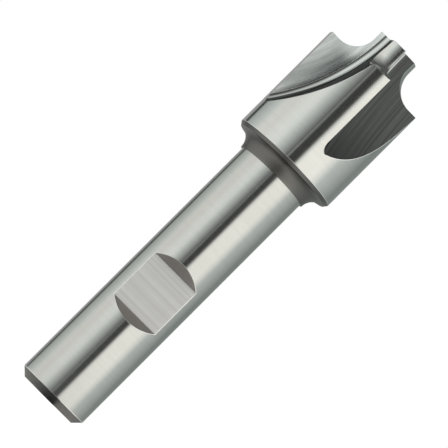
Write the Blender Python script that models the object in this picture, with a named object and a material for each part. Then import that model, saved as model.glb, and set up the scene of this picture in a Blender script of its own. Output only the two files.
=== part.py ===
"""Corner rounding end mill: one solid steel cutter with four straight flutes.

The tool stands on its shank end, with +Z along its axis towards the cutting tip. The origin is
the centre of the shank's end face, and the clamping flat faces -Y. Sizes are in metres.
"""

import math

import bmesh
import bpy
from mathutils import Vector

MM = 0.001

# Lengths along the axis, measured back from the cutting tip
OVERALL_LENGTH = 77.7 * MM
TIP_LAND = 1.55 * MM
HEAD_LENGTH = 19.65 * MM

# Shank and neck
SHANK_DIAMETER = 12.7 * MM
END_CHAMFER = 1.28 * MM
NECK_STEP = 0.33 * MM
REAR_CHAMFER_LENGTH = 0.6 * MM
REAR_CHAMFER_HEIGHT = 0.45 * MM

# Head and the concave form that rounds a work edge
HEAD_DIAMETER = 19.05 * MM
SMALL_END_DIAMETER = 7.86 * MM
CORNER_RADIUS = 4.2 * MM

# Form relief: how far the profile has dropped at this angle behind each cutting edge
RELIEF_DROP = 0.2 * MM
RELIEF_SPAN = math.radians(25.0)
RELIEF_END = math.radians(52.0)
RELIEF_RETURN = math.radians(76.0)

# Clamping flat
FLAT_CENTRE = 23.26 * MM
FLAT_LENGTH = 8.96 * MM
FLAT_DEPTH = 1.865 * MM
FLAT_WALL_RUN = 1.615 * MM

# Flutes, as the grinding wheel leaves them
FLUTES = 4
FIRST_EDGE_ANGLE = math.radians(13.5)
WHEEL_RADIUS = 36.5 * MM
WHEEL_HEIGHT = 78.6 * MM
WHEEL_FLANK_ANGLE = math.radians(84.2)
FLUTE_ROOT_DISTANCE = 2.15 * MM
FLUTE_ROOT_FILLET = 1.05 * MM

# How far a cutting shape runs past the surface that it cuts
OVERRUN = 1.5 * MM

# Facets
BODY_SEGMENTS = 72
WHEEL_SEGMENTS = 160
NECK_STEPS = 7
CORNER_STEPS = 10
ROOT_STEPS = 5
SHARP_ANGLE = math.radians(25.0)

SHANK_RADIUS = SHANK_DIAMETER / 2
HEAD_RADIUS = HEAD_DIAMETER / 2
SMALL_END_RADIUS = SMALL_END_DIAMETER / 2
NECK_RADIUS = SHANK_RADIUS + NECK_STEP
NECK_FILLET = HEAD_RADIUS - REAR_CHAMFER_HEIGHT - NECK_RADIUS
SHOULDER_HEIGHT = OVERALL_LENGTH - TIP_LAND - CORNER_RADIUS
HEAD_START = SHOULDER_HEIGHT - HEAD_LENGTH
NECK_START = HEAD_START - REAR_CHAMFER_LENGTH - NECK_FILLET
EDGE_PITCH = math.tau / FLUTES


def clear_scene():
    """Empties the startup scene."""
    for obj in list(bpy.data.objects):
        bpy.data.objects.remove(obj, do_unlink=True)


def steel():
    """Bright ground tool steel."""
    material = bpy.data.materials.new("ground_steel")
    material.use_nodes = True
    shader = material.node_tree.nodes["Principled BSDF"]
    shader.inputs["Base Color"].default_value = (0.62, 0.61, 0.59, 1.0)
    shader.inputs["Metallic"].default_value = 1.0
    shader.inputs["Roughness"].default_value = 0.28
    return material


def turned_profile():
    """The rings of the body from the shank end to the tip.

    Each is (height, radius, fall, draw): the relief lowers the ring by fall and draws it in by
    draw for each unit that the profile drops, so that it moves square to the profile.
    """
    rings = [
        (0.0, SHANK_RADIUS - END_CHAMFER, 0.0, 0.0),
        (END_CHAMFER, SHANK_RADIUS, 0.0, 0.0),
        (NECK_START, SHANK_RADIUS, 0.0, 0.0),
    ]
    for step in range(NECK_STEPS + 1):
        angle = math.pi / 2 * step / NECK_STEPS
        height = NECK_START + NECK_FILLET * math.sin(angle)
        radius = NECK_RADIUS + NECK_FILLET * (1 - math.cos(angle))
        rings.append((height, radius, 0.0, 0.0))
    rings.append((HEAD_START, HEAD_RADIUS, 0.0, 0.0))
    rings.append((SHOULDER_HEIGHT, HEAD_RADIUS, 1.0, 0.0))
    for step in range(CORNER_STEPS + 1):
        angle = math.pi / 2 * step / CORNER_STEPS
        fall = math.cos(angle)
        draw = math.sin(angle)
        height = SHOULDER_HEIGHT + CORNER_RADIUS * (1 - fall)
        radius = SMALL_END_RADIUS + CORNER_RADIUS * (1 - draw)
        rings.append((height, radius, fall, draw))
    rings.append((OVERALL_LENGTH, SMALL_END_RADIUS, 0.0, 1.0))
    return rings


def relief_at(angle):
    """How far the form has dropped at this angle round the axis.

    It falls steadily behind each cutting edge and comes back up inside the open flute.
    """
    behind = (FIRST_EDGE_ANGLE - angle) % EDGE_PITCH
    slope = RELIEF_DROP / RELIEF_SPAN
    if behind <= RELIEF_END:
        return slope * behind
    if behind >= RELIEF_RETURN:
        return 0.0
    return slope * RELIEF_END * (RELIEF_RETURN - behind) / (RELIEF_RETURN - RELIEF_END)


def direction(angle):
    """The unit vector square to the axis, at an angle from -Y towards +X."""
    return Vector((math.sin(angle), -math.cos(angle), 0.0))


def object_from(bm, name):
    """Puts a finished bmesh into the scene as an object."""
    bmesh.ops.recalc_face_normals(bm, faces=bm.faces)
    mesh = bpy.data.meshes.new(name)
    bm.to_mesh(mesh)
    bm.free()
    obj = bpy.data.objects.new(name, mesh)
    bpy.context.scene.collection.objects.link(obj)
    return obj


def skin(bm, rings):
    """Joins closed rings of points, one after another, and caps the first and the last."""
    made = [[bm.verts.new(point) for point in ring] for ring in rings]
    count = len(made[0])
    for lower, upper in zip(made, made[1:]):
        for i in range(count):
            j = (i + 1) % count
            bm.faces.new((lower[i], lower[j], upper[j], upper[i]))
    bm.faces.new(made[0])
    bm.faces.new(made[-1])


def turned_body():
    """The turned and relieved blank, before the flat and the flutes are ground in it."""
    step = math.tau / BODY_SEGMENTS
    angles = [FIRST_EDGE_ANGLE + (i + 0.5) * step for i in range(BODY_SEGMENTS)]
    rings = []
    for height, radius, fall, draw in turned_profile():
        ring = []
        for angle in angles:
            drop = relief_at(angle)
            out = direction(angle) * (radius - draw * drop)
            ring.append(out + Vector((0.0, 0.0, height - fall * drop)))
        rings.append(ring)
    bm = bmesh.new()
    skin(bm, rings)
    return object_from(bm, "corner_rounding_end_mill")


def flat_cutter():
    """A bar across the shank with sloping ends, which leaves the clamping flat."""
    floor = -(SHANK_RADIUS - FLAT_DEPTH)
    top = -(SHANK_RADIUS + OVERRUN)
    run = FLAT_WALL_RUN * (FLAT_DEPTH + OVERRUN) / FLAT_DEPTH
    low = FLAT_CENTRE - FLAT_LENGTH / 2
    high = FLAT_CENTRE + FLAT_LENGTH / 2
    outline = [(floor, low), (floor, high), (top, high + run), (top, low - run)]
    bm = bmesh.new()
    reach = SHANK_RADIUS + OVERRUN
    skin(bm, [[Vector((x, y, z)) for y, z in outline] for x in (-reach, reach)])
    return object_from(bm, "flat_cutter")


def wheel_profile():
    """The grinding wheel's rim: (distance from the wheel's axis, distance from its flat side)."""
    turn = math.pi - WHEEL_FLANK_ANGLE
    rim = []
    for step in range(ROOT_STEPS + 1):
        angle = turn * step / ROOT_STEPS
        out = WHEEL_RADIUS - FLUTE_ROOT_FILLET * (1 - math.sin(angle))
        rim.append((out, FLUTE_ROOT_FILLET * (1 - math.cos(angle))))
    out, side = rim[-1]
    width = HEAD_RADIUS + OVERRUN
    rim.append((out - (width - side) / math.tan(WHEEL_FLANK_ANGLE), width))
    return rim


def wheel_cutter(index):
    """One grinding wheel, whose flat side leaves a rake face and whose flank leaves a back wall."""
    edge = FIRST_EDGE_ANGLE + index * EDGE_PITCH
    outward = direction(edge)
    ahead = direction(edge + math.pi / 2)
    up = Vector((0.0, 0.0, 1.0))
    hub = outward * (FLUTE_ROOT_DISTANCE + WHEEL_RADIUS) + up * WHEEL_HEIGHT
    rings = []
    for distance, side in wheel_profile():
        ring = []
        for i in range(WHEEL_SEGMENTS):
            turn = math.tau * (i + 0.5) / WHEEL_SEGMENTS
            arm = outward * math.cos(turn) + up * math.sin(turn)
            ring.append(hub + arm * distance + ahead * side)
        rings.append(ring)
    bm = bmesh.new()
    skin(bm, rings)
    return object_from(bm, f"flute_wheel_{index + 1}")


def cut(obj, cutter):
    """Takes a cutter's shape out of an object with a Boolean modifier."""
    cutter.hide_render = True
    cutter.display_type = "WIRE"
    modifier = obj.modifiers.new(cutter.name, "BOOLEAN")
    modifier.operation = "DIFFERENCE"
    modifier.solver = "EXACT"
    modifier.object = cutter


def settle(obj):
    """Makes the cuts part of the object's own mesh and marks its sharp edges."""
    graph = bpy.context.evaluated_depsgraph_get()
    mesh = bpy.data.meshes.new_from_object(obj.evaluated_get(graph))
    mesh.name = obj.name
    obj.modifiers.clear()
    obj.data = mesh
    mesh.shade_smooth()
    mesh.set_sharp_from_angle(angle=SHARP_ANGLE)


def main():
    """Builds the end mill."""
    clear_scene()
    mill = turned_body()
    mill.data.materials.append(steel())
    cut(mill, flat_cutter())
    for index in range(FLUTES):
        cut(mill, wheel_cutter(index))
    settle(mill)


main()
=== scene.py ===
"""Looks of a corner rounding end mill: one piece of ground steel with four straight flutes.

The tool stands on its shank end, with +Z along its axis towards the cutting tip and the clamping
flat facing -Y. Angles round the axis start at -Y and grow towards +X. Lengths are in metres.
"""

import logging
import math
from collections.abc import Callable
from dataclasses import dataclass, field
from enum import Enum, IntEnum
from typing import Any

import bmesh
import bpy
import numpy as np
from mathutils import Matrix, Vector


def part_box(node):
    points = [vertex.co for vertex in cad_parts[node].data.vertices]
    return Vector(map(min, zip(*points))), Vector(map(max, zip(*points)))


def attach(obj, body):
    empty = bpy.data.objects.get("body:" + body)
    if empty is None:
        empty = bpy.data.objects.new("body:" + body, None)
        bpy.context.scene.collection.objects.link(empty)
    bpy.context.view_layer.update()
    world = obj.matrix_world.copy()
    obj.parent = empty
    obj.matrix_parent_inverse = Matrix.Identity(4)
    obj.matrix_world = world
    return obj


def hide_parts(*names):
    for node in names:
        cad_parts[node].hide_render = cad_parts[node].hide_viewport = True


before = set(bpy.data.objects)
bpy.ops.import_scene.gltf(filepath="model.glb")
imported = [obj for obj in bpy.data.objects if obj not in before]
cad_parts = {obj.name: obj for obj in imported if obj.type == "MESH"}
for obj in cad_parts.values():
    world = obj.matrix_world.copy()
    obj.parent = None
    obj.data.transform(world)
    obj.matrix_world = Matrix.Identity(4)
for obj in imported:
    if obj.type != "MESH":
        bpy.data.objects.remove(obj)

MM = 0.001
NODE = "corner_rounding_end_mill"
UPWARD = np.array([0.0, 0.0, 1.0])
GRIND_MAP = "grind"
HALVINGS = 50
SMALLEST_RADIUS = 1e-9

log = logging.getLogger("end_mill")


class Surface(IntEnum):
    """The tool's surfaces, in the order of the material slots on its mesh."""

    END_FACE = 0
    END_CHAMFER = 1
    SHANK = 2
    FLAT_FLOOR = 3
    FLAT_WALL = 4
    NECK_STEP = 5
    NECK_FILLET = 6
    REAR_CHAMFER = 7
    HEAD = 8
    SHOULDER = 9
    CORNER_FORM = 10
    SMALL_END = 11
    TIP_FACE = 12
    RAKE_FACE = 13
    FLUTE = 14
    BROKEN_EDGE = 15


class Section(IntEnum):
    """How often a section of the mesh goes round the tool."""

    ONCE = 0
    EACH_FACET = 1
    EACH_TOOTH = 2


def around(radius: Any, angle: Any, height: Any) -> np.ndarray:
    """Points at a radius, at an angle round the axis and at a height."""
    radius, angle, height = np.broadcast_arrays(radius, angle, height)
    return np.stack([radius * np.sin(angle), -radius * np.cos(angle), height], axis=-1)


def between(start: Any, end: Any, share: Any) -> Any:
    """Values from start to end, at each share of the way."""
    return start + (end - start) * share


def unit(vectors: np.ndarray) -> np.ndarray:
    """The vectors at unit length."""
    return vectors / np.linalg.norm(vectors, axis=1)[:, None]


def last_inside(inside: Callable[[Any], Any], low: Any, high: Any) -> np.ndarray:
    """Finds by halving where a test stops being true.

    Args:
        inside: The test, which is true at low and false at high.
        low: Where each search starts.
        high: Where each search ends.

    Returns:
        The last values at which the test is true.
    """
    for _ in range(HALVINGS):
        middle = (low + high) / 2
        held = inside(middle)
        low = np.where(held, middle, low)
        high = np.where(held, high, middle)
    return low


def add_object(name: str, data: Any) -> bpy.types.Object:
    """Makes an object and puts it in the scene."""
    made = bpy.data.objects.new(name, data)
    bpy.context.scene.collection.objects.link(made)
    return made


@dataclass(frozen=True)
class Relief:
    """Form relief: the profile drops steadily behind each cutting edge."""

    drop: float = 0.2 * MM
    span: float = math.radians(25.0)

    @property
    def slope(self) -> float:
        """The drop for each radian behind the edge."""
        return self.drop / self.span


@dataclass(frozen=True)
class GrindingWheel:
    """The wheel that grinds a flute: its flat side leaves the rake face, its rim the root.

    Positions are in the flute's own axes: out along the cutting edge's direction, ahead square
    to the rake face, and up the tool's axis.
    """

    radius: float = 36.5 * MM
    height: float = 78.6 * MM
    root_distance: float = 2.15 * MM
    fillet: float = 1.05 * MM
    flank_angle: float = math.radians(84.2)

    @property
    def hub(self) -> float:
        """Distance of the wheel's axis from the tool's axis."""
        return self.root_distance + self.radius

    def turn(self, ahead: Any) -> np.ndarray:
        """How far the rim's section has turned at a distance ahead of the flat side."""
        share = 1 - np.asarray(ahead) / self.fillet
        return np.arccos(np.clip(share, -math.cos(self.flank_angle), 1.0))

    def reach(self, ahead: Any) -> np.ndarray:
        """The wheel's radius at a distance ahead of its flat side."""
        rounded = self.radius - self.fillet * (1 - np.sin(self.turn(ahead)))
        past = np.asarray(ahead) - self.fillet * (1 + math.cos(self.flank_angle))
        return rounded - np.maximum(past, 0.0) / math.tan(self.flank_angle)

    def out(self, ahead: Any, height: Any) -> np.ndarray:
        """How far out from the tool's axis the ground surface lies."""
        rise = np.asarray(height) - self.height
        return self.hub - np.sqrt(np.maximum(self.reach(ahead) ** 2 - rise**2, 0.0))

    def lowest(self, ahead: Any, out: Any) -> np.ndarray:
        """The height at which the rim leaves the steel, at a place on the head's outside."""
        inside = self.reach(ahead) ** 2 - (self.hub - np.asarray(out)) ** 2
        return self.height - np.sqrt(np.maximum(inside, 0.0))


@dataclass(frozen=True)
class Profile:
    """The turned shape of the tool, from its shank end to its tip."""

    length: float
    head_radius: float
    shank_radius: float = 6.35 * MM
    end_chamfer: float = 1.28 * MM
    neck_step: float = 0.33 * MM
    rear_chamfer_length: float = 0.6 * MM
    rear_chamfer_height: float = 0.45 * MM
    head_length: float = 19.65 * MM
    tip_land: float = 1.55 * MM
    small_end_radius: float = 3.93 * MM
    corner_radius: float = 4.2 * MM

    @property
    def neck_radius(self) -> float:
        """Radius where the neck's hollow starts."""
        return self.shank_radius + self.neck_step

    @property
    def neck_fillet(self) -> float:
        """Radius of the neck's hollow."""
        return self.head_radius - self.rear_chamfer_height - self.neck_radius

    @property
    def shoulder(self) -> float:
        """Height of the head's front shoulder, where the rounding form starts."""
        return self.form_top - self.corner_radius

    @property
    def form_top(self) -> float:
        """Height at which the rounding form runs into the small end."""
        return self.length - self.tip_land

    @property
    def form_centre(self) -> float:
        """Distance of the form's centre of curvature from the axis."""
        return self.small_end_radius + self.corner_radius

    @property
    def head_start(self) -> float:
        """Height at which the head reaches its full diameter."""
        return self.shoulder - self.head_length

    @property
    def neck_start(self) -> float:
        """Height at which the neck starts."""
        return self.head_start - self.rear_chamfer_length - self.neck_fillet


@dataclass(frozen=True)
class ClampingFlat:
    """The flat for a holder's set screw: a level floor between two sloping walls."""

    centre: float = 23.26 * MM
    length: float = 8.96 * MM
    depth: float = 1.865 * MM
    wall_run: float = 1.615 * MM

    def half_angle(self, shank_radius: float) -> float:
        """Angle from the middle of the flat to the side of its floor."""
        return math.acos((shank_radius - self.depth) / shank_radius)

    def half_length(self, angle: np.ndarray, shank_radius: float) -> np.ndarray:
        """Half of the cut's length on the shank's outside, at an angle round the axis."""
        over = np.maximum(shank_radius * (np.cos(angle) - 1) + self.depth, 0.0)
        return self.length / 2 + self.wall_run * over / self.depth


class Patchwork:
    """A mesh in the making: patches of faces that know their surface and section."""

    def __init__(self) -> None:
        """Starts with no patches."""
        self.points: list[list[float]] = []
        self.faces: list[tuple[int, ...]] = []
        self.marks: list[tuple[int, int]] = []

    def grid(self, rows: np.ndarray, surface: Surface, section: Section = Section.ONCE,
             ring: bool = False) -> None:
        """Joins rows of points into four-sided faces.

        Args:
            rows: Points as rows, columns and coordinates.
            surface: The surface that the faces belong to.
            section: How often the faces go round the tool.
            ring: Whether the last column joins up with the first.
        """
        high, wide = rows.shape[:2]
        for row in range(high - 1):
            first = len(self.points) + row * wide
            for column in range(wide if ring else wide - 1):
                here = first + column
                beside = first + (column + 1) % wide
                self.faces.append((here, beside, beside + wide, here + wide))
                self.marks.append((surface, section))
        self.points.extend(rows.reshape(-1, 3).tolist())

    def polygon(self, loop: np.ndarray, surface: Surface, section: Section = Section.ONCE) -> None:
        """Adds one flat face with any number of corners.

        Args:
            loop: The corners in order.
            surface: The surface that the face belongs to.
            section: How often the face goes round the tool.
        """
        first = len(self.points)
        self.faces.append(tuple(range(first, first + len(loop))))
        self.marks.append((surface, section))
        self.points.extend(loop.tolist())

    def to_object(self, name: str) -> bpy.types.Object:
        """Makes an object whose faces carry their surface and section as attributes.

        Args:
            name: The object's name.

        Returns:
            The new object, in the scene.
        """
        mesh = bpy.data.meshes.new(name)
        mesh.from_pydata(self.points, [], self.faces)
        for label, values in zip(("surface", "section"), np.array(self.marks, np.int32).T.tolist()):
            mesh.attributes.new(label, "INT", "FACE").data.foreach_set("value", values)
        return add_object(name, mesh)


@dataclass
class Shank:
    """The plain round shank with its end chamfer and clamping flat."""

    profile: Profile
    flat: ClampingFlat
    facets: int
    flat_facets: int = 36
    rows_below: int = 14
    rows_beside: int = 8
    rows_above: int = 18
    blend_length: float = 1.0 * MM

    def columns(self) -> np.ndarray:
        """Angles of the mesh's columns, with one on each side of the flat."""
        half = self.flat.half_angle(self.profile.shank_radius)
        over = np.linspace(-half, half, self.flat_facets + 1)
        past = np.linspace(half, math.tau - half, self.facets - self.flat_facets + 1)
        return np.concatenate([over, past[1:-1]])

    def build(self, work: Patchwork, ring_start: float) -> None:
        """Adds the shank's surfaces.

        Args:
            work: The mesh in the making.
            ring_start: An angle at which the neck's ring of facets has a column.
        """
        profile = self.profile
        radius = profile.shank_radius
        angles = self.columns()
        half = self.flat.half_length(angles, radius)
        outside = np.r_[self.flat_facets : self.facets, 0]

        def wall(low: Any, high: Any, rows: int, which: Any = slice(None)) -> np.ndarray:
            """Rows of points on the shank, at some of its columns."""
            share = np.linspace(0, 1, rows + 1)[:, None]
            return around(radius, angles[which], between(low, high, share))

        rim = around(radius - profile.end_chamfer, angles, 0.0)
        edge = around(radius, angles, profile.end_chamfer)
        work.polygon(rim, Surface.END_FACE)
        work.grid(np.stack([rim, edge]), Surface.END_CHAMFER, ring=True)
        low = self.flat.centre - half
        high = self.flat.centre + half
        below = wall(profile.end_chamfer, low, self.rows_below)
        above = wall(high, profile.neck_start - self.blend_length, self.rows_above)
        work.grid(below, Surface.SHANK, ring=True)
        work.grid(above, Surface.SHANK, ring=True)
        beside = wall(low[outside], high[outside], self.rows_beside, outside)
        work.grid(beside, Surface.SHANK)
        work.grid(beside[:, [0, -1]], Surface.FLAT_FLOOR)
        over = slice(0, self.flat_facets + 1)
        work.polygon(below[-1, over], Surface.FLAT_WALL)
        work.polygon(above[0, over], Surface.FLAT_WALL)
        pitch = math.tau / self.facets
        first = ring_start + pitch * round((angles[0] - ring_start) / pitch)
        ring = around(radius, first + pitch * np.arange(self.facets), profile.neck_start)
        work.grid(np.stack([above[-1], ring]), Surface.SHANK, ring=True)
        log.info("shank with its clamping flat: %d facets round", self.facets)


@dataclass
class Neck:
    """The turned neck and the rear of the head, as one strip that goes round the tool."""

    profile: Profile
    facets: int
    fillet_rows: int = 18

    def build(self, work: Patchwork, ring_start: float, top: float) -> None:
        """Adds one facet's width of the neck.

        Args:
            work: The mesh in the making.
            ring_start: The angle of the strip's first side.
            top: Height at which the toothed part of the head starts.
        """
        profile = self.profile
        turn = np.linspace(0, math.pi / 2, self.fillet_rows + 1)
        radii = profile.neck_radius + profile.neck_fillet * (1 - np.cos(turn))
        heights = profile.neck_start + profile.neck_fillet * np.sin(turn)
        head = profile.head_radius
        start = profile.head_start
        sides = ring_start + np.array([0, math.tau / self.facets])
        for surface, out, up in (
            (Surface.NECK_STEP, (profile.shank_radius, radii[0]), (profile.neck_start, heights[0])),
            (Surface.NECK_FILLET, radii, heights),
            (Surface.REAR_CHAMFER, (radii[-1], head), (heights[-1], start)),
            (Surface.HEAD, (head, head, head), (start, (start + top) / 2, top)),
        ):
            rows = around(np.array(out)[:, None], sides, np.array(up)[:, None])
            work.grid(rows, surface, Section.EACH_FACET)
        log.info("neck: a strip of %d rows", self.fillet_rows)


@dataclass
class Tooth:
    """One tooth of the head with the flute ahead of the tooth behind it.

    The section runs from one rake face, at angle 0 in the flute's own axes, to the cutting edge
    of the next tooth, a quarter turn ahead.
    """

    profile: Profile
    wheel: GrindingWheel
    relief: Relief
    edge_angle: float
    teeth: int
    facets: int
    base_margin: float = 1.0 * MM
    base_sweep: float = math.radians(60.0)
    base_samples: int = 400
    border_samples: int = 4000
    land_steps: int = 14
    land_crowding: float = 1.3
    edge_steps: int = 38
    small_end_steps: int = 8
    corner_steps: int = 34
    shoulder_steps: int = 8
    seam_depth: float = 2.0 * MM
    seam_pull: tuple[float, float] = (0.88, 0.97)
    heel_search: float = math.radians(30.0)

    @property
    def pitch(self) -> float:
        """The angle from one tooth to the next."""
        return math.tau / self.teeth

    @property
    def run_out_steps(self) -> int:
        """Steps along the lower border of the flute, which match those of its other borders."""
        return self.facets // self.teeth + self.land_steps + self.edge_steps

    @property
    def root_steps(self) -> int:
        """Steps across the flute where it meets the tip face."""
        return self.run_out_steps - self.small_end_steps - self.corner_steps - self.shoulder_steps

    def place(self, out: Any, ahead: Any, height: Any) -> np.ndarray:
        """Points given in the flute's own axes."""
        return around(np.hypot(out, ahead), self.edge_angle + np.arctan2(ahead, out), height)

    def run_out(self, angle: Any) -> np.ndarray:
        """Height of the flute's border on the head's outside."""
        radius = self.profile.head_radius
        return self.wheel.lowest(radius * np.sin(angle), radius * np.cos(angle))

    def base(self) -> float:
        """Height at which the section starts, a margin below its flute."""
        lowest = np.min(self.run_out(np.linspace(0, self.base_sweep, self.base_samples)))
        return float(lowest) - self.base_margin

    def drop(self, angle: Any) -> Any:
        """How far the form has dropped at an angle from this rake face."""
        return self.relief.slope * (self.pitch - angle)

    def relieved(self, rings: np.ndarray, angle: np.ndarray) -> tuple[np.ndarray, np.ndarray]:
        """Radius and height of the form's rings at rows of angles from this rake face."""
        drop = self.drop(angle)
        return rings[:, :1] - rings[:, 2:3] * drop, rings[:, 1:2] - rings[:, 3:] * drop

    def heels(self, rings: np.ndarray) -> np.ndarray:
        """Finds where rings of the form meet the flute behind the tooth.

        Args:
            rings: The rings, as form_rings gives them.

        Returns:
            An angle for each ring, from the flute's own rake face.
        """
        def in_flute(angle: np.ndarray) -> np.ndarray:
            """Whether each ring is ground away at its angle."""
            reach, height = self.relieved(rings, angle)
            return reach * np.cos(angle) > self.wheel.out(reach * np.sin(angle), height)

        start = np.full((len(rings), 1), self.heel_search)
        return last_inside(in_flute, start, self.pitch)[:, 0]

    def form_rings(self) -> list[tuple[Surface, np.ndarray]]:
        """Rings of the shoulder, the rounding form and the small end, upwards.

        Returns:
            For each surface, rows of radius, height, draw and fall. For each unit of drop, the
            relief draws a ring in by draw and lowers it by fall.
        """
        profile = self.profile
        turn = np.linspace(0, math.pi / 2, self.corner_steps + 1)
        inward = np.linspace(profile.head_radius, profile.form_centre, self.shoulder_steps + 1)
        upward = np.linspace(profile.form_top, profile.length, self.small_end_steps + 1)
        corner_out = profile.form_centre - profile.corner_radius * np.sin(turn)
        corner_up = profile.form_top - profile.corner_radius * np.cos(turn)
        lines = (
            (Surface.SHOULDER, inward, profile.shoulder, 0.0, 1.0),
            (Surface.CORNER_FORM, corner_out, corner_up, np.sin(turn), np.cos(turn)),
            (Surface.SMALL_END, profile.small_end_radius, upward, 1.0, 0.0),
        )
        return [(line[0], np.stack(np.broadcast_arrays(*line[1:]), axis=-1)) for line in lines]

    def flute_rows(self, lower: np.ndarray, upper: np.ndarray, rise: np.ndarray) -> np.ndarray:
        """Rows of places across the flute, each an ahead and a height.

        The columns go over a seam below the form, so that none of them crosses its hollow.

        Args:
            lower: Places along the flute's lower border.
            upper: As many places along its upper border.
            rise: How far up the cutting edge each row starts.

        Returns:
            Rows and columns of places.
        """
        stops = (self.root_steps, self.root_steps + self.small_end_steps, len(upper) - 1)
        pull = np.interp(np.arange(len(upper)), stops, (*self.seam_pull, 1))
        ahead = upper[:, 0] * pull
        start = self.profile.shoulder - self.seam_depth
        seam = np.stack([ahead, between(start, upper[-1, 1], ahead / upper[-1, 0])], axis=-1)
        knee = self.edge_steps
        below = (rise[:knee] / rise[knee])[:, None, None]
        above = ((rise[knee:] - rise[knee]) / (rise[-1] - rise[knee]))[:, None, None]
        return np.concatenate([between(lower, seam, below), between(seam, upper, above)])

    def lower_border(self, heel_top: float) -> tuple[np.ndarray, np.ndarray]:
        """The flute's border on the head's outside, spaced evenly along its length.

        Args:
            heel_top: The angle at which the border meets the shoulder.

        Returns:
            Angles from the rake face, and heights.
        """
        fine = np.linspace(0, heel_top, self.border_samples)
        steps = np.hypot(self.profile.head_radius * np.diff(fine), np.diff(self.run_out(fine)))
        along = np.r_[0, np.cumsum(steps)]
        angles = np.interp(np.linspace(0, along[-1], self.run_out_steps + 1), along, fine)
        return angles, self.run_out(angles)

    def build(self, work: Patchwork, base: float) -> None:
        """Adds one tooth's section of the head.

        Args:
            work: The mesh in the making.
            base: Height at which the section starts.
        """
        profile = self.profile
        radius = profile.head_radius
        section = Section.EACH_TOOTH
        toe = float(self.run_out(0.0))
        shares = np.linspace(0, 1, self.land_steps + 1) ** self.land_crowding
        heel_top = float(last_inside(
            lambda angle: self.run_out(angle) < profile.shoulder - self.drop(angle),
            self.heel_search,
            self.pitch,
        ))
        border_angle, border_height = self.lower_border(heel_top)

        # The land, from that border to the base ring and up the next tooth's cutting edge
        across = self.facets // self.teeth
        far_angle = np.r_[
            np.linspace(0, self.pitch, across + 1),
            np.full(self.land_steps + self.edge_steps, self.pitch),
        ]
        edge_line = np.linspace(toe, profile.shoulder, self.edge_steps + 1)
        far_height = np.r_[np.full(across, base), between(toe, base, shares)[::-1], edge_line[1:]]
        share = shares[:, None]
        turn = between(border_angle, far_angle, share)
        height = between(border_height, far_height, share)
        work.grid(around(radius, self.edge_angle + turn, height), Surface.HEAD, section)

        # The form, from the heel of the tooth to its cutting edge
        edge = [np.stack(np.broadcast_arrays(radius, edge_line[:-1]), axis=-1)]
        heels = []
        for surface, rings in self.form_rings():
            angles = self.heels(rings)
            if surface is Surface.SHOULDER:
                angles[0] = heel_top
            turn = between(angles[:, None], self.pitch, shares)
            reach, height = self.relieved(rings, turn)
            rows = around(reach, self.edge_angle + turn, height)
            work.grid(rows, surface, section)
            fresh = min(len(heels), 1)
            edge.append(rings[fresh:, :2])
            heels.append(np.stack([reach[:, 0] * np.sin(angles), height[:, 0]], axis=-1)[fresh:])
        heels_down = np.concatenate(heels)[::-1]
        edge_out, edge_height = np.concatenate(edge).T

        # The flute: its upper border crosses the tip face and then follows the heel down
        root_share = np.linspace(0, 1, self.root_steps + 1)[:-1]
        root_ahead, root_height = np.broadcast_arrays(heels_down[0, 0] * root_share, profile.length)
        upper = np.concatenate([np.stack([root_ahead, root_height], axis=-1), heels_down])
        lower = np.stack([radius * np.sin(border_angle), border_height], axis=-1)
        lower[-1] = upper[-1]
        rise = np.r_[0, np.cumsum(np.hypot(np.diff(edge_out), np.diff(edge_height)))]
        spots = self.flute_rows(lower, upper, rise)
        ahead, height = spots[..., 0], spots[..., 1]
        flute = self.place(self.wheel.out(ahead, height), ahead, height)
        work.grid(flute, Surface.FLUTE, section)

        # The rake face between the root and the cutting edge, and a quarter of the tip face
        side = self.place(edge_out, 0.0, edge_height)
        work.grid(np.stack([flute[:, 0], side], axis=1), Surface.RAKE_FACE, section)
        next_root = self.place(0.0, self.wheel.out(0.0, profile.length), profile.length)
        centre = profile.length * UPWARD
        tip = np.concatenate([centre[None], flute[-1, : self.root_steps], rows[-1], next_root[None]])
        work.polygon(tip, Surface.TIP_FACE, section)
        log.info("tooth: %d by %d faces in its flute", len(edge_out) - 1, self.run_out_steps)


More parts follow.
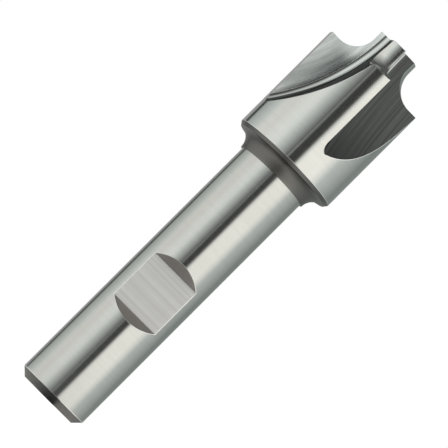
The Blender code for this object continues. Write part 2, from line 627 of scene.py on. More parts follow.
class Wiring:
    """Adds nodes to a tree and joins them."""

    def __init__(self, tree: bpy.types.NodeTree) -> None:
        """Works on one tree."""
        self.tree = tree

    def feed(self, node: bpy.types.Node, inputs: dict[Any, Any]) -> bpy.types.Node:
        """Gives a node its inputs.

        Args:
            node: The node.
            inputs: For each input's name or number, a value, a socket that feeds it or a node
                whose first socket does.

        Returns:
            The same node.
        """
        for key, given in inputs.items():
            value = given.outputs[0] if isinstance(given, bpy.types.Node) else given
            if isinstance(value, bpy.types.NodeSocket):
                self.tree.links.new(value, node.inputs[key])
            else:
                node.inputs[key].default_value = value
        return node

    def node(self, kind: str, inputs: dict[Any, Any] | None = None, **settings: Any) -> bpy.types.Node:
        """Adds a node.

        Args:
            kind: The node's type, such as ShaderNodeMath.
            inputs: What feed takes.
            settings: The node's own settings.

        Returns:
            The new node.
        """
        made = self.tree.nodes.new(kind)
        for label, value in settings.items():
            setattr(made, label, value)
        return self.feed(made, inputs or {})

    def math(self, operation: str, *values: Any) -> bpy.types.NodeSocket:
        """The result of a Math node of any tree."""
        return self.node("ShaderNodeMath", dict(enumerate(values)), operation=operation).outputs[0]

    def ramp(self, value: Any, start: Any, end: Any, style: str = "SMOOTHSTEP") -> bpy.types.NodeSocket:
        """Goes from 0 at start to 1 at end."""
        spread = {"Value": value, "From Min": start, "From Max": end}
        return self.node("ShaderNodeMapRange", spread, interpolation_type=style).outputs["Result"]

    def mix(self, share: Any, first: Any, second: Any) -> bpy.types.NodeSocket:
        """Mixes two colours."""
        return self.node("ShaderNodeMix", {0: share, 6: first, 7: second}, data_type="RGBA").outputs[2]

    def blend(self, share: Any, first: Any, second: Any) -> bpy.types.NodeSocket:
        """Mixes two numbers."""
        return self.node("ShaderNodeMix", {0: share, 2: first, 3: second}, data_type="FLOAT").outputs[0]

    def parts(self, vector: Any) -> list[bpy.types.NodeSocket]:
        """The three numbers of a vector."""
        return list(self.node("ShaderNodeSeparateXYZ", {0: vector}).outputs)

    def given(self) -> Any:
        """The sockets that a group is given."""
        return self.node("NodeGroupInput").outputs

    def group(self, tree: bpy.types.ShaderNodeTree, **inputs: Any) -> Any:
        """The sockets that a shader node group gives."""
        return self.node("ShaderNodeGroup", inputs, node_tree=tree).outputs


def start_group(name: str, kind: str, inputs: dict[str, str], outputs: dict[str, str]) -> Wiring:
    """Makes an empty node group.

    Args:
        name: The group's name.
        kind: The type of its tree.
        inputs: The type of each named input.
        outputs: The type of each named output.

    Returns:
        The wiring of its tree.
    """
    tree = bpy.data.node_groups.new(name, kind)
    for way, sockets in (("INPUT", inputs), ("OUTPUT", outputs)):
        for label, value in sockets.items():
            tree.interface.new_socket(label, in_out=way, socket_type="NodeSocket" + value)
    return Wiring(tree)


@dataclass(frozen=True)
class Assembly:
    """Sends each section round the tool and welds the whole into one mesh."""

    facets: int
    teeth: int
    weld: float = 0.0005 * MM

    def tree(self) -> bpy.types.GeometryNodeTree:
        """The tree that assembles the tool from its sections."""
        inputs = {"Geometry": "Geometry", "Facets": "Int", "Teeth": "Int", "Weld": "Float",
                  "Steel": "Material"}
        wire = start_group("end_mill_sections", "GeometryNodeTree", inputs, {"Geometry": "Geometry"})
        given = wire.given()
        label = wire.node("GeometryNodeInputNamedAttribute", {"Name": "section"}, data_type="INT")
        index = wire.node("GeometryNodeInputIndex").outputs[0]
        rest = given["Geometry"]
        parts = []
        for section, copies in ((Section.EACH_FACET, "Facets"), (Section.EACH_TOOTH, "Teeth")):
            chosen = wire.node("FunctionNodeCompare", {2: label, 3: int(section)},
                               data_type="INT", operation="EQUAL")
            split = wire.node("GeometryNodeSeparateGeometry", {"Geometry": rest, "Selection": chosen},
                              domain="FACE")
            rest = split.outputs["Inverted"]
            points = wire.node("GeometryNodeMeshLine", {"Count": given[copies], "Offset": (0, 0, 0)})
            turn = wire.math("MULTIPLY", wire.math("DIVIDE", index, given[copies]), math.tau)
            parts.append(wire.node("GeometryNodeInstanceOnPoints", {
                "Points": points,
                "Instance": split.outputs["Selection"],
                "Rotation": wire.node("ShaderNodeCombineXYZ", {"Z": turn}),
            }))
        joined = wire.node("GeometryNodeJoinGeometry")
        wire.feed(joined, {0: rest})
        for part in parts:
            wire.feed(joined, {0: wire.node("GeometryNodeRealizeInstances", {0: part})})
        welded = wire.node("GeometryNodeMergeByDistance", {0: joined, "Distance": given["Weld"]})
        real = wire.node("GeometryNodeRealizeInstances", {0: welded})
        done = wire.node("GeometryNodeSetMaterial", {0: real, "Material": given["Steel"]})
        wire.node("NodeGroupOutput", {"Geometry": done})
        return wire.tree

    def run(self, piece: bpy.types.Object) -> None:
        """Replaces the piece's sections by the whole tool, as a plain mesh.

        Args:
            piece: The object with the sections.
        """
        tree = self.tree()
        modifier = piece.modifiers.new("sections", "NODES")
        modifier.node_group = tree
        steel = bpy.data.materials.new("steel_under_finish")
        values = {"Facets": self.facets, "Teeth": self.teeth, "Weld": self.weld, "Steel": steel}
        for item in tree.interface.items_tree:
            if item.in_out == "INPUT" and item.name in values:
                modifier[item.identifier] = values[item.name]
        piece.update_tag()
        bpy.context.view_layer.update()
        graph = bpy.context.evaluated_depsgraph_get()
        mesh = bpy.data.meshes.new_from_object(piece.evaluated_get(graph))
        piece.modifiers.remove(modifier)
        piece.data = mesh


@dataclass
class EndMill:
    """The whole tool: shank, neck and toothed head in one mesh."""

    profile: Profile
    flat: ClampingFlat = field(default_factory=ClampingFlat)
    wheel: GrindingWheel = field(default_factory=GrindingWheel)
    relief: Relief = field(default_factory=Relief)
    edge_angle: float = math.radians(13.5)
    teeth: int = 4
    facets: int = 144
    edge_break: float = 0.06 * MM
    heel_break: float = 0.05 * MM
    sharp_angle: float = math.radians(20.0)
    clear_of_toe: float = 1.2 * MM
    clear_of_shoulder: float = 0.6 * MM
    rake_margin: float = 0.02
    UNBROKEN = frozenset({
        Surface.RAKE_FACE, Surface.NECK_STEP, Surface.NECK_FILLET, Surface.BROKEN_EDGE,
    })
    STOPS = frozenset({Surface.FLUTE, Surface.RAKE_FACE, Surface.BROKEN_EDGE})

    def build(self) -> bpy.types.Object:
        """Makes the tool's mesh and returns its object."""
        work = Patchwork()
        tooth = Tooth(self.profile, self.wheel, self.relief, self.edge_angle, self.teeth, self.facets)
        base = tooth.base()
        Shank(self.profile, self.flat, self.facets).build(work, self.edge_angle)
        Neck(self.profile, self.facets).build(work, self.edge_angle, base)
        tooth.build(work, base)
        piece = work.to_object("end_mill")
        Assembly(self.facets, self.teeth).run(piece)
        self._finish_mesh(piece)
        return piece

    def _finish_mesh(self, piece: bpy.types.Object) -> None:
        """Turns every face outwards and breaks the edges that are not for cutting.

        Args:
            piece: The tool's object.
        """
        bm = bmesh.new()
        bm.from_mesh(piece.data)
        label = bm.faces.layers.int["surface"]
        for face in bm.faces:
            face.material_index = face[label]
        bmesh.ops.recalc_face_normals(bm, faces=bm.faces)
        for breaks, size in ((self._on_flute, self.heel_break), (self._off_flute, self.edge_break)):
            bmesh.ops.bevel(
                bm,
                geom=[edge for edge in bm.edges if self._is_sharp(edge) and breaks(edge)],
                offset=size,
                segments=1,
                profile=0.5,
                affect="EDGES",
                clamp_overlap=False,
                material=int(Surface.BROKEN_EDGE),
            )
        for vert in bm.verts:
            vert.co.z = min(vert.co.z, self.profile.length)
        open_edges = sum(1 for edge in bm.edges if len(edge.link_faces) != 2)
        log.info("tool mesh: %d faces, %d open edges", len(bm.faces), open_edges)
        bm.to_mesh(piece.data)
        bm.free()

    def _is_sharp(self, edge: bmesh.types.BMEdge) -> bool:
        """Whether an edge is sharp and neither cuts, nor turns inwards, nor lies on the neck."""
        marks = {face.material_index for face in edge.link_faces}
        return (len(marks) == 2 and not marks & self.UNBROKEN
                and edge.calc_face_angle_signed(0.0) > self.sharp_angle)

    def _on_flute(self, edge: bmesh.types.BMEdge) -> bool:
        """Whether an edge borders a flute on the head's outside, clear of its corners."""
        if {face.material_index for face in edge.link_faces} != {Surface.FLUTE, Surface.HEAD}:
            return False
        _, ahead, up = self.flute_axes(np.array([vert.co for vert in edge.verts]))[2].T
        top = self.profile.shoulder - self.clear_of_shoulder - self.wheel.height
        return bool((ahead > self.clear_of_toe).all() and (up < top).all())

    def _off_flute(self, edge: bmesh.types.BMEdge) -> bool:
        """Whether an edge is clear of the flutes and of the edges broken before."""
        return not any(face.material_index in self.STOPS for vert in edge.verts for face in vert.link_faces)

    def normals(self, surface: Surface, points: np.ndarray) -> np.ndarray | None:
        """The true normals of a surface at some of its points.

        Args:
            surface: The surface that the points lie on.
            points: Points in the tool's own frame.

        Returns:
            Unit normals, or None for a flat surface, whose faces already have them.
        """
        profile = self.profile
        radius = np.maximum(np.hypot(points[:, :1], points[:, 1:2]), SMALLEST_RADIUS)
        height = points[:, 2:]
        outward = points * (1.0, 1.0, 0.0) / radius
        sideways = outward[:, [1, 0, 2]] * (-1.0, 1.0, 0.0)
        lean = sideways * -self.relief.slope / radius
        if surface is Surface.FLUTE:
            return self._flute_normals(points)
        if surface is Surface.CORNER_FORM:
            out = outward * (profile.form_centre - radius)
            return unit(unit(out + UPWARD * (profile.form_top - height)) + lean)
        hollow = profile.neck_radius + profile.neck_fillet - radius
        rear = outward * profile.rear_chamfer_length - UPWARD * profile.rear_chamfer_height
        exact = {
            Surface.SHANK: outward,
            Surface.HEAD: outward,
            Surface.END_CHAMFER: outward - UPWARD,
            Surface.REAR_CHAMFER: rear,
            Surface.NECK_FILLET: outward * hollow + UPWARD * (profile.neck_start - height),
            Surface.SHOULDER: UPWARD + lean,
            Surface.SMALL_END: outward + lean,
        }
        return unit(exact[surface]) if surface in exact else None

    def _shared_normals(self, normals: np.ndarray, owners: np.ndarray) -> np.ndarray:
        """Averages normals over the face corners whose owner is the same point."""
        _, which = np.unique(owners, return_inverse=True)
        return unit(np.stack([np.bincount(which, axis) for axis in normals.T], axis=-1)[which])

    def flute_axes(self, points: np.ndarray) -> tuple[np.ndarray, np.ndarray, np.ndarray]:
        """The directions of the flute that each point lies in, and its place from the wheel's hub.

        Args:
            points: Points in the tool's own frame.

        Returns:
            Unit vectors outward and ahead, and how far out, ahead and up each point is.
        """
        angle = np.arctan2(points[:, 0], -points[:, 1]) - self.edge_angle + self.rake_margin
        pitch = math.tau / self.teeth
        edge = self.edge_angle + np.floor(angle / pitch) * pitch
        outward = around(1.0, edge, 0.0)
        ahead = around(1.0, edge + math.pi / 2, 0.0)
        out = (points * outward).sum(1) - self.wheel.hub
        up = points[:, 2] - self.wheel.height
        return outward, ahead, np.stack([out, (points * ahead).sum(1), up], axis=-1)

    def _flute_normals(self, points: np.ndarray) -> np.ndarray:
        """Normals of the surface that the wheel's rim leaves.

        Args:
            points: Points on that surface.

        Returns:
            Unit normals.
        """
        outward, ahead, place = self.flute_axes(points)
        arm = unit(place[:, [0, 2]])
        turn = self.wheel.turn(place[:, 1])[:, None]
        radial = outward * arm[:, :1] + UPWARD * arm[:, 1:]
        return ahead * np.cos(turn) - radial * np.sin(turn)

    def _grind_map(self, surface: Surface, points: np.ndarray) -> np.ndarray:
        """Places along and across the grinding lines, in metres.

        Args:
            surface: The rake face or the flute.
            points: Points on that surface.

        Returns:
            Two numbers for each point.
        """
        out, ahead, up = self.flute_axes(points)[2].T
        across = np.hypot(out, up) if surface is Surface.RAKE_FACE else ahead
        return np.stack([np.arctan2(up, -out) * self.wheel.radius, across], axis=-1)

    def dress(self, piece: bpy.types.Object, finishes: dict[Surface, bpy.types.Material]) -> None:
        """Gives every face its finish, its true normals and its grinding map.

        Args:
            piece: The tool's object.
            finishes: The material of each surface.
        """
        mesh = piece.data
        marks = np.array([face.material_index for face in mesh.polygons])
        mesh.materials.clear()
        for surface in Surface:
            mesh.materials.append(finishes[surface])
        mesh.polygons.foreach_set("material_index", marks.tolist())
        mesh.shade_smooth()
        owners = np.array([corner.vertex_index for corner in mesh.loops])
        points = np.array([vert.co for vert in mesh.vertices])[owners]
        corner_face = np.repeat(np.arange(len(marks)), [face.loop_total for face in mesh.polygons])
        normals = np.array([face.normal for face in mesh.polygons])[corner_face]
        grind = np.zeros((len(points), 2))
        for surface in Surface:
            here = marks[corner_face] == surface
            if surface is Surface.BROKEN_EDGE:
                exact = self._shared_normals(normals[here], owners[here])
            else:
                exact = self.normals(surface, points[here])
            if exact is not None:
                normals[here] = exact
            if surface in (Surface.RAKE_FACE, Surface.FLUTE):
                grind[here] = self._grind_map(surface, points[here])
        mesh.normals_split_custom_set(normals.tolist())
        mesh.uv_layers.new(name=GRIND_MAP).data.foreach_set("uv", grind.ravel().tolist())
        for label in ("surface", "section"):
            mesh.attributes.remove(mesh.attributes[label])


class GroupLibrary:
    """Shader node groups that several finishes share, each built once."""

    BROAD_SHARE = 0.3
    STREAK_RANGE = (0.3, 0.7)
    SMUDGE_RANGE = (0.35, 0.7)

    def __init__(self) -> None:
        """Builds the groups."""
        self.lines = self._grinding_lines()
        self.smudges = self._smudges()

    def _grinding_lines(self) -> bpy.types.ShaderNodeTree:
        """Fine lines and broader streaks, drawn out by the stretch of their coordinates."""
        wire = start_group("grinding_lines", "ShaderNodeTree",
                           {"Vector": "Vector", "Fine": "Vector", "Broad": "Vector"},
                           {"Height": "Float", "Streak": "Float"})
        given = wire.given()
        made = []
        for stretch in ("Fine", "Broad"):
            drawn = wire.node("ShaderNodeVectorMath", {0: given["Vector"], 1: given[stretch]},
                              operation="MULTIPLY").outputs[0]
            noise = wire.node("ShaderNodeTexNoise", {
                "Vector": drawn, "Scale": 1.0, "Detail": 3.0, "Roughness": 0.6,
            })
            made.append(noise.outputs[0])
        height = wire.blend(self.BROAD_SHARE, *made)
        streak = wire.ramp(made[1], *self.STREAK_RANGE)
        wire.node("NodeGroupOutput", {"Height": height, "Streak": streak})
        return wire.tree

    def _smudges(self) -> bpy.types.ShaderNodeTree:
        """Faint cloudy marks from handling and oil."""
        wire = start_group("smudges", "ShaderNodeTree", {"Vector": "Vector", "Scale": "Float"},
                           {"Mask": "Float"})
        given = wire.given()
        noise = wire.node("ShaderNodeTexNoise", {
            "Vector": given["Vector"], "Scale": given["Scale"], "Detail": 4.0, "Roughness": 0.55,
        })
        wire.node("NodeGroupOutput", {"Mask": wire.ramp(noise.outputs[0], *self.SMUDGE_RANGE)})
        return wire.tree


class LineMap(Enum):
    """Which coordinates a finish draws its grinding lines in."""

    ROUND_THE_TOOL = ("ShaderNodeTexCoord", "Object", {})
    WITH_THE_WHEEL = ("ShaderNodeUVMap", "UV", {"uv_map": GRIND_MAP})

    def of(self, wire: Wiring) -> bpy.types.NodeSocket:
        """The coordinates' socket in a material."""
        kind, output, settings = self.value
        return wire.node(kind, **settings).outputs[output]


# The sockets of a finish's colour, its roughness and the height of its lines
Look = tuple[Any, Any, Any]


@dataclass(frozen=True)
class SteelFinish:
    """A finish of bare steel: colour, gloss and the lines that the tool left."""

    name: str
    colour: tuple[float, float, float]
    roughness: float
    line_map: LineMap = LineMap.ROUND_THE_TOOL
    fine: tuple[float, float, float] = (60.0, 60.0, 9000.0)
    broad: tuple[float, float, float] = (25.0, 25.0, 1500.0)
    depth: float = 0.0002 * MM
    streak_shade: float = 0.02
    streak_gloss: float = 0.01
    smudge_shade: float = 0.05
    smudge_scale: float = 160.0
    smudge_share: float = 0.5
    smudge_gloss: float = 0.02
    edge_tint: float = 1.0

    def toned(self, share: float) -> tuple[float, ...]:
        """The finish's colour at a share of its brightness."""
        return (*(min(1.0, c * share) for c in self.colour), 1.0)

    def look(self, wire: Wiring, groups: GroupLibrary) -> Look:
        """Adds the nodes of the finish to a tree.

        Args:
            wire: The wiring of the material's tree.
            groups: The shared node groups.

        Returns:
            The sockets of the colour, the roughness and the height of the lines.
        """
        where = LineMap.ROUND_THE_TOOL.of(wire)
        lines = wire.group(groups.lines, Vector=self.line_map.of(wire), Fine=self.fine, Broad=self.broad)
        mask = wire.group(groups.smudges, Vector=where, Scale=self.smudge_scale)["Mask"]
        shade = wire.mix(lines["Streak"], self.toned(1 - self.streak_shade),
                         self.toned(1 + self.streak_shade))
        dulled = wire.math("MULTIPLY", mask, self.smudge_share)
        tone = wire.mix(dulled, shade, self.toned(1 - self.smudge_shade))
        even = self.roughness - self.streak_gloss / 2
        streaked = wire.math("MULTIPLY_ADD", lines["Streak"], self.streak_gloss, even)
        gloss = wire.math("MULTIPLY_ADD", mask, self.smudge_gloss, streaked)
        return tone, gloss, lines["Height"]

    def build(self, groups: GroupLibrary) -> bpy.types.Material:
        """Makes the finish as a material.

        Args:
            groups: The shared node groups.

        Returns:
            The material.
        """
        material = bpy.data.materials.new(self.name)
        material.use_nodes = True
        wire = Wiring(material.node_tree)
        tone, gloss, height = self.look(wire, groups)
        bump = wire.node("ShaderNodeBump", {"Height": height, "Distance": self.depth})
        wire.feed(material.node_tree.nodes["Principled BSDF"], {
            "Metallic": 1.0,
            "Specular Tint": (self.edge_tint, self.edge_tint, self.edge_tint, 1.0),
            "Base Color": tone,
            "Roughness": gloss,
            "Normal": bump.outputs["Normal"],
        })
        return material


@dataclass(frozen=True, kw_only=True)
class FluteFinishWithPaintedLight(SteelFinish):
    """A flute's dull wall, painted dark as shade, with a bright strip that the wheel's rim ground in the
    root.

    The strip's brightness is partly a painted highlight of the root fillet. The strip widens towards the
    tip and is painted darker, as shade, at the lip and towards the toe.
    """

    root: SteelFinish
    lip_width: float = 0.08 * MM
    toe_width: float = 0.28 * MM
    tip_width: float = 0.8 * MM
    widen_start: float = -20.0 * MM
    widen_end: float = -6.5 * MM
    blend: float = 0.06 * MM
    lip_painted_shade: float = 0.6
    toe_painted_shade: float = 0.7
    toe_end: float = -16.0 * MM
    toe_start: float = -9.0 * MM

    def look(self, wire: Wiring, groups: GroupLibrary) -> Look:
        """Adds the nodes of the strip and the wall, as SteelFinish does."""
        along, across, _ = wire.parts(self.line_map.of(wire))
        # Painted shade: the strip's tone is darkened at the lip and towards the toe
        past_lip = wire.ramp(across, 0.0, self.lip_width)
        past_toe = wire.ramp(along, self.toe_end, self.toe_start)
        bright = wire.math("MULTIPLY", wire.blend(past_lip, self.lip_painted_shade, 1.0),
                           wire.blend(past_toe, self.toe_painted_shade, 1.0))
        widening = wire.ramp(along, self.widen_start, self.widen_end)
        width = wire.blend(widening, self.toe_width, self.tip_width)
        share = wire.ramp(wire.math("SUBTRACT", across, width), -self.blend, self.blend)
        root = self.root.look(wire, groups)
        wall = super().look(wire, groups)
        # The strip's light tone is partly a painted highlight of the root fillet; the wall's dark tone is
        # painted shade
        ground = wire.mix(bright, (0.0, 0.0, 0.0, 1.0), root[0])
        tone = wire.mix(share, ground, wall[0])
        return tone, wire.blend(share, root[1], wall[1]), wire.blend(share, root[2], wall[2])


@dataclass(frozen=True, kw_only=True)
class RakeFinishWithPaintedShading(SteelFinish):
    """A rake face's finish, with painted shade along its middle that fades out near the tip, and painted
    light towards the root.
    """

    edge_painted_shade: float = 0.95
    middle_painted_shade: float = 0.68
    root_painted_light: float = 1.25
    edge_reach: float = 31.6 * MM
    middle_reach: float = 33.0 * MM
    middle_end: float = 33.9 * MM
    root_reach: float = 34.9 * MM
    tip_start: float = -9.5 * MM
    tip_end: float = -6.5 * MM

    def look(self, wire: Wiring, groups: GroupLibrary) -> Look:
        """Adds the nodes of the finish in its three tones, as SteelFinish does."""
        along, reach, _ = wire.parts(self.line_map.of(wire))
        # Painted shading across the face: darker along the middle, lighter towards the root
        toward_middle = wire.ramp(reach, self.edge_reach, self.middle_reach)
        toward_root = wire.ramp(reach, self.middle_end, self.root_reach)
        outer = wire.blend(toward_middle, self.edge_painted_shade, self.middle_painted_shade)
        short_of_tip = wire.ramp(along, self.tip_end, self.tip_start)
        bright = wire.blend(toward_root, wire.blend(short_of_tip, 1.0, outer), self.root_painted_light)
        tone, gloss, height = super().look(wire, groups)
        tone = wire.node("ShaderNodeVectorMath", {0: tone, "Scale": bright}, operation="SCALE").outputs[0]
        return tone, gloss, height


def tool_finishes() -> dict[Surface, bpy.types.Material]:
    """The material of each surface of the tool."""
    groups = GroupLibrary()
    wheel = LineMap.WITH_THE_WHEEL
    flat = SteelFinish("ground_flat", (0.97, 0.965, 0.96), 0.85, fine=(60.0, 60.0, 7000.0),
                       broad=(12.0, 12.0, 1300.0), depth=0.0006 * MM, streak_shade=0.07)
    # The turned surfaces' dark colour is partly painted shade, standing for the dark reflections under the
    # head and at the shank end
    turned = SteelFinish("turned_dark_painted_shade", (0.19, 0.183, 0.176), 0.36, fine=(60.0, 60.0, 6000.0),
                         broad=(30.0, 30.0, 1200.0), depth=0.0008 * MM, streak_shade=0.06)
    chamfer = SteelFinish("turned_rough_painted_shade", (0.205, 0.202, 0.195), 0.55, smudge_shade=0.35,
                          smudge_scale=2400.0, depth=0.0006 * MM)
    form = SteelFinish("relieved_form", (0.65, 0.66, 0.64), 0.14, depth=0.0003 * MM)
    # The rake face's tones are painted shade and painted light, laid over its grinding lines
    rake = RakeFinishWithPaintedShading("rake_face", (0.45, 0.488, 0.497), 0.26, wheel, (60.0, 7000.0, 0.0),
                      (110.0, 1400.0, 0.0), 0.0005 * MM, 0.24, 0.05)
    # The flute wall's dark colour and low edge tint are painted shade; the root strip's light colour is
    # partly a painted highlight
    root = SteelFinish("flute_root", (0.64, 0.66, 0.65), 0.16, wheel, (60.0, 9000.0, 0.0),
                       (40.0, 2500.0, 0.0), 0.0005 * MM, 0.06)
    flute = FluteFinishWithPaintedLight("flute", (0.113, 0.119, 0.118), 0.38, wheel, (60.0, 8000.0, 0.0),
                        (50.0, 3200.0, 0.0), 0.0008 * MM, 0.24, edge_tint=0.44, root=root)
    by_surface = {
        Surface.END_FACE: turned,
        Surface.END_CHAMFER: chamfer,
        Surface.SHANK: SteelFinish("ground_shank", (0.6, 0.605, 0.585), 0.14),
        Surface.FLAT_FLOOR: flat,
        Surface.FLAT_WALL: SteelFinish("milled_flat_wall", (0.36, 0.338, 0.325), 0.4, streak_shade=0.06),
        Surface.NECK_STEP: turned,
        Surface.NECK_FILLET: turned,
        # Dark colour partly painted shade, as on the other turned surfaces
        Surface.REAR_CHAMFER: SteelFinish("turned_rear_painted_shade", (0.175, 0.17, 0.165), 0.34),
        Surface.HEAD: SteelFinish("ground_head", (0.64, 0.65, 0.63), 0.11),
        Surface.SHOULDER: form,
        Surface.CORNER_FORM: form,
        Surface.SMALL_END: form,
        Surface.TIP_FACE: form,
        Surface.RAKE_FACE: rake,
        Surface.FLUTE: flute,
        # The broken edges' light colour is partly a painted highlight along the edges
        Surface.BROKEN_EDGE: SteelFinish("broken_edge_painted_highlight", (0.85, 0.85, 0.84), 0.3),
    }
    made = {finish: finish.build(groups) for finish in dict.fromkeys(by_surface.values())}
    return {surface: made[finish] for surface, finish in by_surface.items()}


def grey(level: float) -> tuple[float, float, float, float]:
    """A colour without a hue."""
    return (level, level, level, 1.0)


@dataclass(frozen=True)
class LightPanel:
    """A soft panel, or a gap between panels, on the studio's round wall.

    Azimuths are in degrees from the camera's side towards +X. The panel comes in from start to
    full and goes out from full_end to end.
    """

    start: float
    full: float
    full_end: float
    end: float
    level: float
    tint: tuple[float, float, float] = (1.0, 1.0, 1.0)

    def over(self, wire: Wiring, azimuth: Any, below: Any) -> bpy.types.NodeSocket:
        """Lays the panel over what the wall shows so far.

        Args:
            wire: The wiring of the tree that shows the wall.
            azimuth: The socket of the azimuth, in degrees.
            below: The colour so far.

        Returns:
            The colour with the panel.
        """
        rising = wire.ramp(azimuth, self.start, self.full, "LINEAR")
        falling = wire.ramp(azimuth, self.end, self.full_end, "LINEAR")
        colour = (*(self.level * c for c in self.tint), 1.0)
        return wire.mix(wire.math("MULTIPLY", rising, falling), below, colour)


@dataclass
class Studio:
    """The plain studio: a pale floor and a round wall with soft panels of light."""

    wall_level: float = 0.31
    wall_tint: tuple[float, float, float] = (0.9, 1.0, 0.955)
    ceiling_level: float = 0.12
    ceiling_start: float = 82.0
    ceiling_end: float = 40.0
    back_drop: float = 35.0
    back_width: float = math.radians(60.0)
    panels: tuple[LightPanel, ...] = (
        LightPanel(-182.0, -181.0, -152.0, -146.0, 0.42),  # wall behind the cool panel
        LightPanel(-70.0, -10.0, 11.0, 15.0, 0.06, (1.0, 0.99, 0.96)),  # gap at the camera
        LightPanel(-148.0, -84.0, -40.0, -6.5, 0.95, (0.96, 1.0, 0.97)),  # cool panel
        LightPanel(-102.0, -82.0, -66.0, -48.0, 0.93, (1.02, 1.0, 0.965)),  # pale part of the cool panel
        LightPanel(-72.0, -54.0, -48.0, -36.0, 1.05, (0.98, 1.0, 0.96)),  # middle of the cool panel
        LightPanel(-145.0, -142.0, -136.0, -131.0, 0.05),  # gap behind the cool panel
        LightPanel(-9.0, -7.5, -6.5, -5.0, 0.4, (0.95, 1.0, 0.97)),  # rim beside the camera
        LightPanel(10.5, 17.5, 66.0, 130.0, 0.81, (0.96, 1.0, 0.98)),  # far end of the warm panel
        LightPanel(10.0, 19.5, 55.0, 76.0, 1.23, (1.02, 1.0, 0.945)),  # warm panel
    )
    floor_half_width: float = 0.6
    floor_gap: float = 0.02 * MM
    floor_shade: float = 0.6
    floor_lift: float = 0.8
    floor_roughness: float = 0.9
    # Strength of the floor's painted reflection of the wall, in full and in front of the tool, and its
    # darker colour in reflections as painted shade
    floor_painted_reflection: float = 0.9
    floor_painted_reflection_front: float = 0.65
    floor_gloss_shade: float = 0.22
    front_start: float = -1.0
    front_end: float = 0.2

    def wall(self) -> bpy.types.ShaderNodeTree:
        """A node group with the wall's colour in a direction from the tool."""
        wire = start_group("studio_wall", "ShaderNodeTree", {"Direction": "Vector"}, {"Color": "Color"})
        x, y, _ = wire.parts(wire.given()["Direction"])
        azimuth = wire.math("DEGREES", wire.math("ARCTAN2", x, wire.math("MULTIPLY", y, -1.0)))
        colour: Any = (*(self.wall_level * c for c in self.wall_tint), 1.0)
        for panel in self.panels:
            colour = panel.over(wire, azimuth, colour)
        wire.node("NodeGroupOutput", {"Color": colour})
        return wire.tree

    def world(self, wall: bpy.types.ShaderNodeTree) -> None:
        """Lights the scene by direction, and shows white behind the tool.

        The ceiling comes further down at the back of the room than at its front.

        Args:
            wall: The node group of the wall.
        """
        world = bpy.data.worlds.new("studio")
        bpy.context.scene.world = world
        world.use_nodes = True
        wire = Wiring(world.node_tree)
        way = wire.node("ShaderNodeTexCoord").outputs["Generated"]
        shown = wire.group(wall, Direction=way)["Color"]
        side, back, rise = wire.parts(way)
        from_back = wire.math("ARCTAN2", wire.math("ABSOLUTE", side), back)
        lower = wire.math("MULTIPLY", wire.ramp(from_back, self.back_width, 0.0), self.back_drop)
        elevation = wire.math("ADD", wire.math("DEGREES", wire.math("ARCSINE", rise)), lower)
        below_ceiling = wire.ramp(elevation, self.ceiling_start, self.ceiling_end, "LINEAR")
        colour = wire.mix(below_ceiling, grey(self.ceiling_level), shown)
        camera = wire.node("ShaderNodeLightPath").outputs["Is Camera Ray"]
        lit = wire.mix(camera, colour, grey(1.0))
        wire.feed(world.node_tree.nodes["Background"], {"Color": lit})

    def floor(self, wall: bpy.types.ShaderNodeTree) -> None:
        """Lays the floor, which shows white and keeps the tool's shadow; to reflected rays it is darker, as
        painted shade, and glows with a painted reflection of the wall, dimmer in front of the tool.

        Args:
            wall: The node group of the wall.
        """
        half = self.floor_half_width
        mesh = bpy.data.meshes.new("floor")
        places = ((-half, -half), (half, -half), (half, half), (-half, half))
        mesh.from_pydata([(x, y, -self.floor_gap) for x, y in places], [], [(0, 1, 2, 3)])
        floor = add_object("floor", mesh)
        material = bpy.data.materials.new("pale_floor")
        material.use_nodes = True
        wire = Wiring(material.node_tree)
        path = wire.node("ShaderNodeLightPath").outputs
        glossy = path["Is Glossy Ray"]
        seen = wire.math("MAXIMUM", path["Is Camera Ray"], path["Is Transmission Ray"])
        spot = wire.node("ShaderNodeTexCoord").outputs["Object"]
        shown = wire.group(wall, Direction=spot)["Color"]
        way = wire.node("ShaderNodeVectorMath", {0: spot}, operation="NORMALIZE").outputs[0]
        # Painted shade: the floor's painted reflection is dimmer in front of the tool, on the camera's side
        away = wire.ramp(wire.parts(way)[1], self.front_start, self.front_end, "LINEAR")
        strength = wire.blend(away, self.floor_painted_reflection_front, self.floor_painted_reflection)
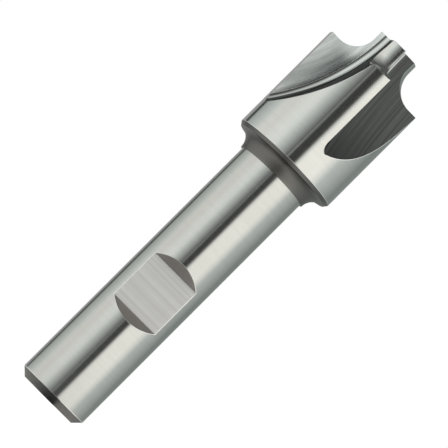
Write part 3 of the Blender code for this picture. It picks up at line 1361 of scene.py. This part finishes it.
        # Reflected rays see the floor glow with a painted reflection of the wall, and see a darker floor
        # colour as painted shade
        painted_reflection = wire.math("MULTIPLY", glossy, strength)
        wire.feed(material.node_tree.nodes["Principled BSDF"], {
            "Roughness": self.floor_roughness,
            "Specular IOR Level": 0.0,
            "Base Color": wire.mix(glossy, grey(self.floor_shade), grey(self.floor_gloss_shade)),
            "Emission Color": wire.mix(seen, shown, grey(1.0)),
            "Emission Strength": wire.math("MULTIPLY_ADD", seen, self.floor_lift, painted_reflection),
        })
        mesh.materials.append(material)


@dataclass(frozen=True)
class PhotoCamera:
    """The camera, at the photograph's viewing angle and turned on its side as it was."""

    azimuth: float = math.radians(-1.448)
    elevation: float = math.radians(-4.40)
    roll: float = math.radians(45.06)
    distance: float = 485.5 * MM
    target_side: float = 0.035 * MM
    target_height: float = 38.774 * MM
    lens: float = 249.7
    sensor: float = 36.0
    clip_start: float = 0.01
    clip_end: float = 20.0

    def place(self) -> None:
        """Puts the camera in the scene."""
        data = bpy.data.cameras.new("camera")
        data.lens = self.lens
        data.sensor_width = self.sensor
        data.clip_start = self.clip_start
        data.clip_end = self.clip_end
        camera = add_object("camera", data)
        camera.matrix_world = (
            Matrix.Translation((0.0, 0.0, self.target_height))
            @ Matrix.Rotation(self.azimuth, 4, "Z")
            @ Matrix.Translation((self.target_side, 0.0, 0.0))
            @ Matrix.Rotation(math.pi / 2 - self.elevation, 4, "X")
            @ Matrix.Rotation(self.roll, 4, "Z")
            @ Matrix.Translation((0.0, 0.0, self.distance))
        )
        bpy.context.scene.camera = camera


def main() -> None:
    """Builds the tool, dresses it and sets up the studio."""
    logging.basicConfig(level=logging.INFO, format="%(name)s: %(message)s")
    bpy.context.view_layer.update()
    low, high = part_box(NODE)
    bpy.context.scene.view_settings.view_transform = "Standard"
    PhotoCamera().place()
    studio = Studio()
    wall = studio.wall()
    studio.world(wall)
    studio.floor(wall)
    mill = EndMill(Profile(length=high.z - low.z, head_radius=high.x))
    piece = mill.build()
    mill.dress(piece, tool_finishes())
    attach(piece, "root")
    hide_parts(NODE)
    log.info("end_mill: %d faces", len(piece.data.polygons))


if __name__ == "__main__":
    main()
